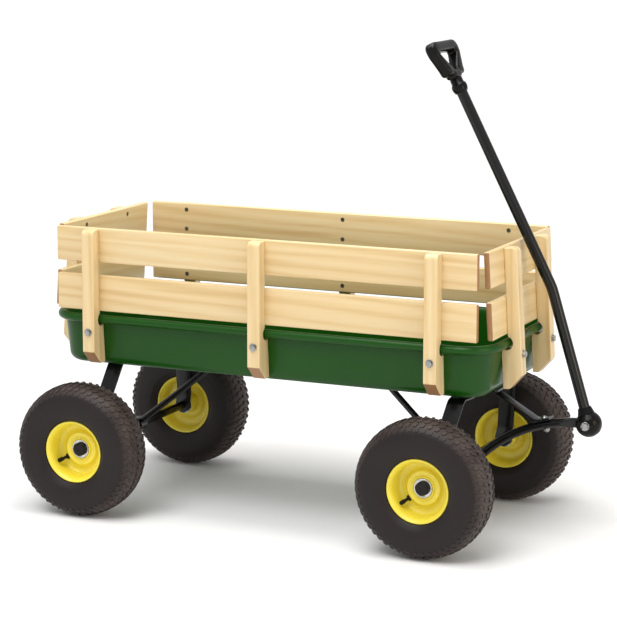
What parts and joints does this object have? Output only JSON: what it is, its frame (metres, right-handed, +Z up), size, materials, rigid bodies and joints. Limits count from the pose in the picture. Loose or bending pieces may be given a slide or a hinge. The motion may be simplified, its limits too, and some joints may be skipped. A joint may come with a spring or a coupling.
{
  "type": "pull wagon",
  "caption": "Pull wagon with a pressed steel tray, wooden stake sides, pneumatic wheels, a steered front axle and a folding pull handle with a loop grip.",
  "frame": {"origin": "on the floor, under the middle of the wagon's bounding box", "axes": "+X to the front, where the tongue and handle are; +Y to the wagon's left; +Z up"},
  "size_m": [1.076, 0.5346, 0.9013],
  "materials": {
    "wood": "varnished light softwood, satin",
    "green_paint": "dark green enamel on pressed steel",
    "yellow_paint": "yellow enamel on pressed steel",
    "black_paint": "black enamel on steel",
    "black_plastic": "moulded black plastic, satin gloss",
    "tyre_rubber": "black rubber with a block tread",
    "valve_rubber": "black rubber valve stem",
    "zinc_steel": "zinc-plated steel"
  },
  "bodies": {
    "chassis": {"tray": "green_paint", "slat_near_upper": "wood", "slat_near_lower": "wood", "slat_far_upper": "wood", "slat_far_lower": "wood", "slat_front_upper": "wood", "slat_front_lower": "wood", "slat_rear_upper": "wood", "slat_rear_lower": "wood", "stake_near_rear": "wood", "stake_near_middle": "wood", "stake_near_front": "wood", "stake_far_rear": "wood", "stake_far_middle": "wood", "stake_far_front": "wood", "stake_front_near": "wood", "stake_front_far": "wood", "stake_rear_near": "wood", "stake_rear_far": "wood", "slat_screws": "zinc_steel", "stake_bolts": "zinc_steel", "stake_nuts": "zinc_steel", "frame_bolts": "zinc_steel", "rear_bracket": "black_paint", "rear_axle": "zinc_steel", "rear_brace": "black_paint", "rear_axle_caps": "black_plastic", "bolster_plate": "black_paint", "front_brace": "black_paint", "king_pin_bolts": "zinc_steel", "pivot_washers": "black_paint"},
    "front_carriage": {"front_bracket": "black_paint", "front_axle": "black_paint", "front_axle_caps": "black_plastic", "tongue_tube": "black_paint", "tongue_strap": "black_paint", "tongue_bolt": "zinc_steel"},
    "handle": {"handle_tube": "black_paint", "handle_collar": "black_plastic", "handle_grip": "black_plastic", "ball_shroud_near": "black_plastic", "ball_shroud_far": "black_plastic", "pivot_bolt": "zinc_steel"},
    "wheel_near_rear": {"tyre_near_rear": "tyre_rubber", "rim_near_rear": "yellow_paint", "bearings_near_rear": "zinc_steel", "valve_near_rear": "valve_rubber"},
    "wheel_far_rear": {"tyre_far_rear": "tyre_rubber", "rim_far_rear": "yellow_paint", "bearings_far_rear": "zinc_steel", "valve_far_rear": "valve_rubber"},
    "wheel_near_front": {"tyre_near_front": "tyre_rubber", "rim_near_front": "yellow_paint", "bearings_near_front": "zinc_steel", "valve_near_front": "valve_rubber"},
    "wheel_far_front": {"tyre_far_front": "tyre_rubber", "rim_far_front": "yellow_paint", "bearings_far_front": "zinc_steel", "valve_far_front": "valve_rubber"}
  },
  "joints": [
    {"name": "steering", "type": "hinge", "parent": "chassis", "child": "front_carriage", "pos_m": [0.284, 0, 0.27], "axis": [0, 0, 1], "range_deg": [-20, 20]},
    {"name": "handle_pivot", "type": "hinge", "parent": "front_carriage", "child": "handle", "pos_m": [0.514, 0, 0.2175], "axis": [0, 1, 0], "range_deg": [0, 127]},
    {"name": "spin_near_rear", "type": "hinge", "parent": "chassis", "child": "wheel_near_rear", "pos_m": [-0.411, -0.2235, 0.127], "axis": [0, 1, 0], "continuous": true},
    {"name": "spin_far_rear", "type": "hinge", "parent": "chassis", "child": "wheel_far_rear", "pos_m": [-0.411, 0.2235, 0.127], "axis": [0, 1, 0], "continuous": true},
    {"name": "spin_near_front", "type": "hinge", "parent": "front_carriage", "child": "wheel_near_front", "pos_m": [0.284, -0.2235, 0.127], "axis": [0, 1, 0], "continuous": true},
    {"name": "spin_far_front", "type": "hinge", "parent": "front_carriage", "child": "wheel_far_front", "pos_m": [0.284, 0.2235, 0.127], "axis": [0, 1, 0], "continuous": true}
  ]
}
